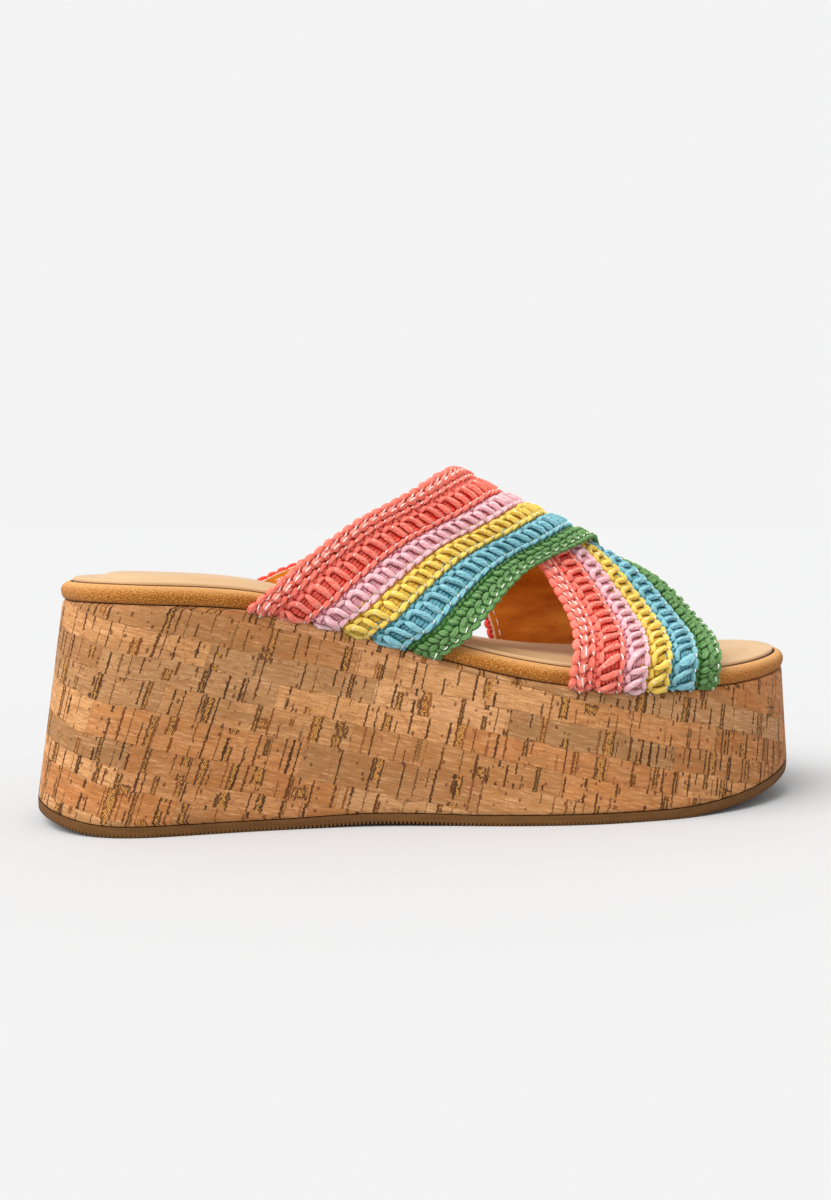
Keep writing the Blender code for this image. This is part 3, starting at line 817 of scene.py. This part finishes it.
ROW_EDGES = (0.0167, 0.0251, 0.0331, 0.0427)    # where one colour gives way to the next
YARNS = {                   # from the rear edge: a yarn's light colour, and its painted shade colour low between stitches
    "coral": ((0.990, 0.243, 0.176), (0.990, 0.048, 0.026)),
    "pink": ((0.895, 0.520, 0.550), (0.880, 0.275, 0.335)),
    "yellow": ((0.885, 0.625, 0.130), (0.870, 0.440, 0.028)),
    "blue": ((0.242, 0.510, 0.568), (0.084, 0.335, 0.425)),
    "green": ((0.146, 0.298, 0.096), (0.047, 0.176, 0.032)),
}
TAPE, TAPE_WIDTH = (0.800, 0.700, 0.600), 0.0020
LOOP_PAINTED_HIGHLIGHT = (1.0, 0.85, 0.75)
GROUND, GROUND_TRIM, GROUND_LIFT = 0.0004, 0.0014, 0.00003

ground, shader, u, v = paint("crochet_ground", Roughness=0.95, Specular_IOR_Level=0.1)
edges = (TAPE_WIDTH, *ROW_EDGES)
# painted shade: the ground lies low between the stitches, so each colour band takes its yarn's shade colour
stops = [(edge / BAND_WIDTH, painted_shade) for edge, (_, painted_shade) in zip(edges, YARNS.values())]
stops = [(0.0, TAPE), *stops, (1 - TAPE_WIDTH / BAND_WIDTH, TAPE)]
loops = (u * 3.6 + (v * 3.1).wave() * 0.7).wave() * (v * 3.1).wave()
twist = (u * 2.2).plane(v * 2.2).noise(3)
colour = (v / (BAND_WIDTH * 1000)).colours(stops, "CONSTANT")
height = loops * 0.5 + twist
# painted highlight: the raised parts of the base loops lighter, the low parts left darker
colour = (height.between(0.3, 0.9) * 0.35).over(colour, LOOP_PAINTED_HIGHLIGHT, "SOFT_LIGHT")
finish_paint(shader, colour, height, 0.0005, 0.8)
for band in BANDS:
    piece = sheet_solid(band + "_ground", band, GROUND_TRIM, BAND_END + 0.5, LINING + GROUND_LIFT,
                        LINING + GROUND)
    piece.data.materials.append(ground)
    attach(piece, "root")
    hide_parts("upper")


# Crochet rows: thick soft cotton worked in rows along the band. Each repeat is modelled flat,
# as short lengths of yarn, and laid along its row on the band. Coral has an edge of round
# picots, a tight row and a chain before its ladder; pink, yellow, blue and green follow.

PITCH, STRETCH = 0.00355, 1.10      # one stitch along a row as drawn here, and drawn out in wear
ROW_PITCH, ROW_COUNT = PITCH * 2 * STRETCH, 40      # a repeat is two stitches long
YARN_SIDES, YARN_TAPER, YARN_TIP = 6, 0.45, 0.42
YARN_LOOSENESS = 0.00014
WANDER, WANDER_SCALE = 0.0009, 420.0            # slow unevenness of the rows, and how fine it is
FOOT_TURN = 99.4            # here the rows turn in under the band, into the seam above the cork
FOOT_BEND, FOOT_BEND_RUN = 0.0005, 0.0022       # radius of that turn, and the length of row it takes
FOOT_INSIDE, FOOT_INSIDE_RUN = 0.0012, 0.0060   # depth in the seam, and the length of row it takes
FOOT_BEND_STEPS, GUIDE_TURNS, GUIDE_ROWS = 7, 231, 61
GUIDE_MARGIN = 0.05         # share of the band's width by which its guide is wider on each side


def tube(path, thick, sides=YARN_SIDES, steps=7):
    """A length of yarn through (run, width, height) points in millimetres, tapering at both ends."""
    path = np.array(path, dtype=float) * (STRETCH, 1, 1)
    run = arc_lengths(path)
    table = np.column_stack([run / run[-1], path])
    t = np.linspace(0, 1, steps)
    line = np.stack([spline(table, k, t) for k in (1, 2, 3)], 1)
    tangent = unit(np.gradient(line, axis=0))
    side = unit(np.cross(tangent, (0, 0, 1.0)))
    up = np.cross(side, tangent)
    body = thick * (1 - np.abs(2 * t - 1) ** 5 * YARN_TAPER)
    length, girth = run[-1], 2 * math.pi * thick
    points = []
    for k in range(steps):
        for i in range(sides):
            turn = 2 * math.pi * i / sides
            points.append(line[k] + body[k] * (math.cos(turn) * side[k] + math.sin(turn) * up[k]))
    points += [line[0] - tangent[0] * thick * YARN_TIP, line[-1] + tangent[-1] * thick * YARN_TIP]
    faces, uvs = walls(steps, sides, lambda k, i: (t[k] * length, i / sides * girth))
    last = (steps - 1) * sides
    for tip, base, end in ((len(points) - 2, 0, 0.0), (len(points) - 1, last, length)):
        for i in range(sides):
            faces.append((tip, base + i, base + (i + 1) % sides))
            uvs += [(end, (i + step) / sides * girth) for step in (0.5, 0, 1)]
    return points, faces, uvs


def repeat_mesh(name, tubes):
    """One repeat of a row, as a flat mesh in metres. The run is turned round, so that the mesh's
    own X, Y and height make a right-handed frame on the band."""
    points, faces, uvs = [], [], []
    for tube_points, tube_faces, tube_uvs in tubes:
        faces += [tuple(v + len(points) for v in face) for face in tube_faces]
        points += [(-p[0] / 1000, p[1] / 1000, p[2] / 1000) for p in tube_points]
        uvs += [(a / 1000, b / 1000) for a, b in tube_uvs]
    return solid(name, points, faces, uvs)


def chain(at_run, at_width, thick=0.90):
    """A chain link from one stitch to the next, lying along the row."""
    return tube([(at_run + 0.5, at_width + 0.35, 0.7), (at_run + 1.3, at_width + 0.15, 1.35),
                 (at_run + 2.9, at_width - 0.15, 1.35), (at_run + 3.75, at_width - 0.45, 0.7)], thick)


def ladder(top, bottom, pitch):
    """Two stitches of a ladder: bars from their top loops down to a chain, with base knots between."""

    def down(share):
        return top + (bottom - top) * share

    short_bar = [(-0.2, down(0.02), 1.1), (0.0, down(0.30), 1.95), (0.3, down(0.66), 1.95),
                 (0.6, bottom, 0.9)]
    long_bar = [(0.55, down(0.06), 0.6), (1.0, top - 0.35, 1.1), (2.1, top - 0.6, 1.45),
                (3.15, top + 0.1, 1.8), (3.75, down(0.25), 1.95), (4.3, down(0.6), 1.8),
                (4.75, down(0.96), 0.8)]
    top_loop = [(pitch + 0.35, top + 0.35, 0.5), (pitch + 1.1, top - 0.25, 1.15),
                (pitch + 2.1, top - 0.45, 1.3), (pitch + 3.2, top + 0.05, 0.6)]
    made = [tube(short_bar, 1.04, steps=9), tube(long_bar, 0.97, steps=11), tube(top_loop, 0.88),
            chain(0.3, bottom), chain(0.3 + pitch, bottom)]
    for s in (0.0, pitch):
        for share in (0.20, 0.38, 0.56, 0.74):
            run, width = s + share * 0.9, down(share)
            made.append(tube([(run + 0.6, width + 0.15, 0.45), (run + 1.6, width, 0.80),
                              (run + 2.7, width - 0.1, 0.45)], 0.64, 5, 4))
    return made


def knots(width, pitch, thick, height):
    """A line of small slanting base stitches, two to a pitch."""
    return [tube([(k * pitch / 2, width + 0.35, height - 0.1), (k * pitch / 2 + 0.8, width, height + 0.15),
                  (k * pitch / 2 + 1.6, width - 0.35, height - 0.15)], thick, 5, 5) for k in range(4)]


def row_repeats(pitch):
    """Every colour's repeat, two stitches long, by its place across the band in millimetres."""
    coral = ladder(9.3, 16.0, pitch) + knots(7.6, pitch, 0.8, 0.75) + knots(2.2, pitch, 0.7, 0.6)
    green = knots(40.8, pitch, 0.42, 0.75) + knots(43.7, pitch, 0.62, 0.62)
    for s in (0.0, pitch):
        coral += [
            tube([(s - 1.3, 1.8, 0.5), (s - 0.7, 1.05, 1.25), (s + 0.6, 0.95, 1.25),
                  (s + 1.3, 1.7, 0.5)], 1.28),
            tube([(s, 2.6, 1.1), (s + 0.25, 3.5, 1.8), (s + 0.6, 4.8, 1.1)], 1.42),
            tube([(s + 1.65, 2.5, 0.7), (s + 2.0, 3.3, 1.15), (s + 2.4, 4.6, 0.7)], 0.95),
            chain(s - 1.2, 6.0, 1.02),
        ]
        green += [
            tube([(s, 44.9, 0.7), (s + 0.5, 46.0, 1.5), (s + 1.1, 47.2, 0.8)], 0.98),
            tube([(s + 1.7, 45.0, 0.6), (s + 2.1, 46.0, 1.2), (s + 2.6, 47.0, 0.7)], 0.78),
            chain(s, 48.1, 0.92),
            tube([(s + 0.2, 48.9, 0.8), (s + 0.6, 49.8, 1.4), (s + 0.9, 50.7, 0.8)], 1.0),
            tube([(s + 1.9, 49.0, 0.6), (s + 2.3, 49.8, 1.2), (s + 2.6, 50.5, 0.7)], 0.8),
            tube([(s - 1.6, 50.5, 0.5), (s - 0.9, 51.3, 1.1), (s + 0.8, 51.4, 1.1),
                  (s + 1.65, 50.6, 0.5)], 1.0),
        ]
    return {
        "coral": coral,
        "pink": knots(17.5, pitch, 0.55, 0.6) + ladder(19.1, 24.4, pitch),
        "yellow": knots(23.2, pitch, 0.42, 0.75) + knots(25.8, pitch, 0.5, 0.55) + ladder(27.1, 32.4, pitch),
        "blue": knots(31.2, pitch, 0.42, 0.75) + knots(33.9, pitch, 0.55, 0.6) + ladder(35.5, 42.0, pitch),
        "green": green,
    }


def guide_mesh(band):
    """The crochet's own surface on a band, with its run and width as the UV map. Both ends bend
    in under the band."""
    turns = np.linspace(-FOOT_TURN, FOOT_TURN, GUIDE_TURNS)
    shares = np.linspace(-GUIDE_MARGIN, 1 + GUIDE_MARGIN, GUIDE_ROWS)
    grid = band_surface(band, *np.meshgrid(turns, shares), LINING)
    runs = band_runs(band, turns, shares)
    for hand in (1, -1):
        end, run = grid[:, -1], runs[:, -1]
        down = unit(end - grid[:, -2])
        inward = unit(band_surface(band, np.full(GUIDE_ROWS, hand * FOOT_TURN), shares, LINING - 0.001) - end)
        way = np.sign(run - runs[:, -2])
        more, more_runs = [], []
        for k in range(1, FOOT_BEND_STEPS + 1):
            angle = math.pi / 2 * k / FOOT_BEND_STEPS
            more.append(end + FOOT_BEND * (inward * (1 - math.cos(angle)) + down * math.sin(angle)))
            more_runs.append(run + way * FOOT_BEND_RUN * k / FOOT_BEND_STEPS)
        more.append(more[-1] + inward * FOOT_INSIDE)
        more_runs.append(more_runs[-1] + way * FOOT_INSIDE_RUN)
        # turned end for end, so that the other end is bent in the same way
        grid = np.concatenate([grid, np.stack(more, 1)], 1)[:, ::-1]
        runs = np.concatenate([runs, np.stack(more_runs, 1)], 1)[:, ::-1]
    columns = grid.shape[1]
    faces, uvs = walls(GUIDE_ROWS, columns, lambda i, j: (-runs[i, j], shares[i] * BAND_WIDTH), closed=False)
    mesh = skin(band + "_guide", grid.reshape(-1, 3), faces, uvs, "Rows")
    mesh.shade_smooth()
    if mesh.polygons[GUIDE_ROWS // 2 * (columns - 1) + columns // 2].normal.z < 0:
        mesh.flip_normals()
    return link(band + "_guide", mesh)


def row_tree():
    """Repeats set along a row, loosened a little, then laid on the guide. Any length of yarn that
    would run off the guide is left out."""
    tree = bpy.data.node_groups.new("Crochet row", "GeometryNodeTree")
    tree.is_modifier = True
    kinds = {"Geometry": "Geometry", "Repeat": "Object", "Guide": "Object", "Pitch": "Float", "Count": "Int",
             "Looseness": "Float", "Seed": "Int", "Yarn paint": "Material"}
    ports = {}
    for name, kind in kinds.items():
        port = tree.interface.new_socket(name=name, in_out="INPUT", socket_type="NodeSocket" + kind)
        ports[name] = port.identifier
    tree.interface.new_socket(name="Geometry", in_out="OUTPUT", socket_type="NodeSocketGeometry")
    given, result = tree.nodes.new("NodeGroupInput").outputs, tree.nodes.new("NodeGroupOutput")

    def made(kind, *inputs, output=0, **settings):
        return add_node(tree, kind, *inputs, **settings).outputs[output]

    def vector(operation, *inputs):
        return made("ShaderNodeVectorMath", *inputs, operation=operation)

    # the repeats in a straight row, centred on the band
    step = made("ShaderNodeCombineXYZ", (0, given["Pitch"]))
    half_count = made("ShaderNodeMath", (0, given["Count"]), (1, -0.5), operation="MULTIPLY")
    line = made("GeometryNodeMeshLine", ("Count", given["Count"]), ("Offset", step),
                ("Start Location", vector("SCALE", (0, step), (3, half_count))))
    repeat = made("GeometryNodeObjectInfo", ("Object", given["Repeat"]), output="Geometry")
    row = made("GeometryNodeInstanceOnPoints", ("Points", line), ("Instance", repeat))
    row = made("GeometryNodeRealizeInstances", (0, row))
    island, place = made("GeometryNodeInputMeshIsland"), made("GeometryNodeInputPosition")
    height = made("ShaderNodeSeparateXYZ", (0, place), output=2)
    row = made("GeometryNodeStoreNamedAttribute", (0, row), ("Name", "relief"), ("Value", height),
               data_type="FLOAT", domain="POINT")
    # each length of yarn a little out of place, and the whole row a little uneven
    nudge = made("FunctionNodeRandomValue", (0, (-1.0, -1.0, -0.6)), (1, (1.0, 1.0, 0.6)), ("ID", island),
                 ("Seed", given["Seed"]), data_type="FLOAT_VECTOR")
    nudge = vector("SCALE", (0, nudge), (3, given["Looseness"]))
    wander = made("ShaderNodeTexNoise", ("Vector", place), ("Scale", WANDER_SCALE), ("Detail", 1.0),
                  output="Color")
    wander = vector("SCALE", (0, vector("SUBTRACT", (0, wander), (1, (0.5, 0.5, 0.5)))), (3, WANDER))
    row = made("GeometryNodeSetPosition", (0, row), ("Offset", vector("ADD", (0, nudge), (1, wander))))
    # laid on the guide where its run and width agree, without the yarn that runs off it
    guide = made("GeometryNodeObjectInfo", ("Object", given["Guide"]), output="Geometry")
    rows = made("GeometryNodeInputNamedAttribute", ("Name", "Rows"), data_type="FLOAT_VECTOR")
    spot, normal = (add_node(tree, "GeometryNodeSampleUVSurface", ("Mesh", guide), ("Value", value),
                             ("Source UV Map", rows), ("Sample UV", place), data_type="FLOAT_VECTOR")
                    for value in (place, made("GeometryNodeInputNormal")))
    off = made("FunctionNodeBooleanMath", (0, spot.outputs["Is Valid"]), operation="NOT")
    lost = made("GeometryNodeAccumulateField", ("Value", off), ("Group Index", island), output="Total",
                data_type="INT", domain="POINT")
    gone = made("FunctionNodeCompare", (2, lost), (3, 0), data_type="INT", operation="GREATER_THAN")
    row = made("GeometryNodeDeleteGeometry", (0, row), ("Selection", gone))
    laid = vector("ADD", (0, spot.outputs[0]), (1, vector("SCALE", (0, normal.outputs[0]), (3, height))))
    row = made("GeometryNodeSetPosition", (0, row), ("Position", laid))
    row = made("GeometryNodeSetMaterial", (0, row), ("Material", given["Yarn paint"]))
    tree.links.new(row, result.inputs[0])
    return tree, ports


def lay_row(name, repeat, guide, material, seed, looseness):
    """A band's row as one plain mesh, made by the row tree."""
    carrier = link(name + "_carrier", bpy.data.meshes.new(name + "_carrier"))
    modifier = carrier.modifiers.new("rows", "NODES")
    modifier.node_group = ROW_TREE
    values = {"Repeat": repeat, "Guide": guide, "Pitch": ROW_PITCH, "Count": ROW_COUNT,
              "Looseness": looseness, "Seed": seed, "Yarn paint": material}
    for key, value in values.items():
        modifier[ROW_PORTS[key]] = value
    bpy.context.view_layer.update()
    mesh = bpy.data.meshes.new_from_object(carrier.evaluated_get(bpy.context.evaluated_depsgraph_get()))
    mesh.name = name
    bpy.data.objects.remove(carrier, do_unlink=True)
    return link(name, mesh)


def yarn_paint(name, light, painted_shade):
    """Soft cotton: fine fibres along the yarn, with painted shade low between the stitches."""
    made, shader, u, v = paint(name + "_yarn", Roughness=0.9, Specular_IOR_Level=0.12, Sheen_Weight=0.08,
                               Sheen_Roughness=0.6, Subsurface_Weight=0.5, Subsurface_Scale=0.0016,
                               Subsurface_Radius=light)
    relief = u.into("ShaderNodeAttribute", output="Fac", attribute_name="relief") * 1000.0
    fibre = (u * 0.25).plane(v * 0.95 + u * 0.55).noise(3, 0.75)
    fuzz = (u * 1.3).plane(v * 1.3).noise(3, 0.85)
    pale = tuple(min(c * 1.15 + 0.085, 1.0) for c in light)
    body = tuple(c ** 1.55 for c in light)
    colour = (fibre * 0.5 + fuzz * 0.5).colours(((0.40, body), (0.49, light), (0.60, pale)))
    # painted shade: the lower a point lies in its stitch, the more it takes the yarn's darker shade colour
    colour = (relief.between(2.20, 0.50) * 0.85).over(colour, painted_shade)
    finish_paint(shader, colour, (fibre + fuzz) * 0.6, 0.0015, 1.0)
    return made


ROW_TREE, ROW_PORTS = row_tree()
guides = {band: guide_mesh(band) for band in BANDS}
repeats = {name: repeat_mesh(name + "_repeat", tubes) for name, tubes in row_repeats(PITCH * 1000).items()}
for seed, (name, (light, painted_shade)) in enumerate(YARNS.items()):
    yarn = yarn_paint(name, light, painted_shade)
    for band in BANDS:
        piece = lay_row(f"{band}_{name}", repeats[name], guides[band], yarn, seed * 7 + 3, YARN_LOOSENESS)
        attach(piece, "root")
        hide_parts("upper")


# White stitching: cotton thread run by hand through the coral edge in two broken lines, with
# a small stitch at each chain joint, and one line near the green edge. The same thread sews
# the lining down near both of its edges.

THREAD, THREAD_LOOSENESS, THREAD_SEED = 0.17, 0.00012, 91
STITCHES = (                # run, width, height, length and slant of each, at every stitch of the yarn
    (1.7, 2.1, 2.2, 1.7, 0.75), (0.5, 3.5, 3.2, 2.3, 0.45), (-0.6, 5.9, 2.25, 1.2, 0.5),
    (0.7, 15.6, 2.3, 1.3, 0.45), (0.7, 24.1, 2.2, 0.9, 0.35), (0.7, 32.1, 2.2, 0.9, 0.35),
    (0.7, 41.7, 2.2, 0.9, 0.35), (0.9, 50.3, 2.4, 1.6, 0.4),
)
LADDER_STITCHES = (9.6, 19.4, 27.4)     # widths of the ladders' short stitches, one to a repeat
LINING_SEAM = 3.9           # millimetres from a band's edge
THREAD_COLOURS = ((0.80, 0.76, 0.70), (0.93, 0.90, 0.86))


def dash(run, width, height, length, slant):
    """A short stitch that stands just off the yarn and dips at both ends."""
    return tube([(run - length / 2, width + slant / 2, height - 0.35), (run, width, height),
                 (run + length / 2, width - slant / 2, height - 0.35)], THREAD, 5, 5)


def thread_repeat(pitch):
    made = []
    for s in (0.0, pitch):
        made += [dash(s + run, *rest) for run, *rest in STITCHES]
        for width in (LINING_SEAM, BAND_WIDTH * 1000 - LINING_SEAM):
            under = [(s - 1.2, width, -0.80), (s, width, -1.02), (s + 1.2, width, -0.80)]
            made.append(tube(under, THREAD, 5, 5))
    return made + [dash(3.3, width, 2.75, 0.8, 0.4) for width in LADDER_STITCHES]


thread, shader, u, v = paint("white_thread", Roughness=0.6, Specular_IOR_Level=0.4, Sheen_Weight=0.1)
ply = (u * 9.0 + v * 7.0).wave()
colour = ((u * 1.3).plane(v * 4.0).noise(2) + ply * 0.1).colours(zip((0.35, 0.6), THREAD_COLOURS))
finish_paint(shader, colour, ply, 0.0001, 0.5)
stitches = repeat_mesh("thread_repeat", thread_repeat(PITCH * 1000))
for band in BANDS:
    piece = lay_row(band + "_thread", stitches, guides[band], thread, THREAD_SEED, THREAD_LOOSENESS)
    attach(piece, "root")
    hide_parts("upper")
for helper in [*guides.values(), *repeats.values(), stitches]:
    bpy.data.objects.remove(helper, do_unlink=True)
